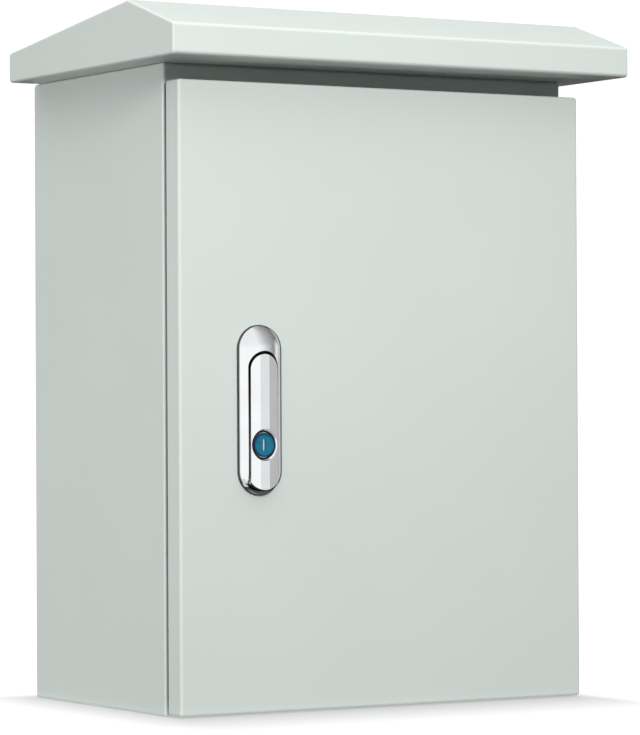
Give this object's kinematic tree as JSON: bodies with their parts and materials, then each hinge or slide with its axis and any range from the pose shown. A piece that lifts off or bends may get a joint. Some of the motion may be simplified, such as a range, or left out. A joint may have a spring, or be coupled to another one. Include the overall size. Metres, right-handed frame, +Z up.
{
  "type": "wall enclosure",
  "caption": "Weatherproof sheet-steel wall enclosure with an overhanging gable rain hood, a folded hinged door, a flush chrome lever handle and a key-turned latch cam",
  "frame": {"origin": "middle of the overall box, on the surface that the cabinet stands on", "axes": "+X to the right seen from the front, +Y towards the wall behind, +Z up"},
  "size_m": [0.34, 0.23, 0.4457],
  "materials": {
    "powder_coat": "light grey satin powder coat",
    "galvanised_steel": "galvanised sheet",
    "zinc_steel": "zinc plated",
    "bright_steel": "ground and plated",
    "copper_coat": "copper coated",
    "bright_chrome": "polished chrome plate",
    "black_rubber": "matte",
    "grey_foam": "closed cell foam",
    "blue_cap": "glossy"
  },
  "bodies": {
    "cabinet": {"cabinet_shell": "powder_coat", "rain_hood": "powder_coat", "hood_washers": "black_rubber", "hood_screws": "zinc_steel", "hood_nuts": "zinc_steel", "mounting_plate": "galvanised_steel", "plate_studs": "zinc_steel", "plate_washers": "zinc_steel", "plate_nuts": "zinc_steel", "gland_plate": "galvanised_steel", "gland_gasket": "black_rubber", "gland_studs": "zinc_steel", "gland_nuts": "zinc_steel", "cable_grommets": "black_rubber", "earth_stud": "copper_coat", "earth_washer": "zinc_steel", "earth_nut": "zinc_steel", "hinge_arm_upper": "zinc_steel", "hinge_arm_lower": "zinc_steel"},
    "door": {"door_panel": "powder_coat", "door_gasket": "grey_foam", "hinge_bracket_upper": "zinc_steel", "hinge_bracket_lower": "zinc_steel", "hinge_pin_upper": "bright_steel", "hinge_pin_lower": "bright_steel", "door_earth_stud": "copper_coat", "door_earth_nut": "zinc_steel", "lock_base": "bright_chrome", "lock_seal": "black_rubber", "lock_clamps": "zinc_steel", "lock_screws": "zinc_steel", "lever_pin": "bright_steel", "lever_spring": "bright_steel", "lock_barrel": "bright_chrome", "barrel_nut": "zinc_steel"},
    "lever": {"lock_lever": "bright_chrome"},
    "key_cam": {"key_plug": "bright_steel", "key_shutter": "bright_steel", "plug_cap": "blue_cap", "latch_cam": "zinc_steel", "cam_washer": "zinc_steel", "cam_nut": "zinc_steel"}
  },
  "joints": [
    {"name": "door_swing", "type": "hinge", "parent": "cabinet", "child": "door", "pos_m": [0.143, -0.077, 0.19815], "axis": [0, 0, 1], "range_deg": [0, 120]},
    {"name": "lever_lift", "type": "hinge", "parent": "door", "child": "lever", "pos_m": [-0.094, -0.0875, 0.1474], "axis": [1, 0, 0], "range_deg": [0, 30]},
    {"name": "key_turn", "type": "hinge", "parent": "door", "child": "key_cam", "pos_m": [-0.094, -0.086, 0.1686], "axis": [0, 1, 0], "range_deg": [0, 90]}
  ]
}
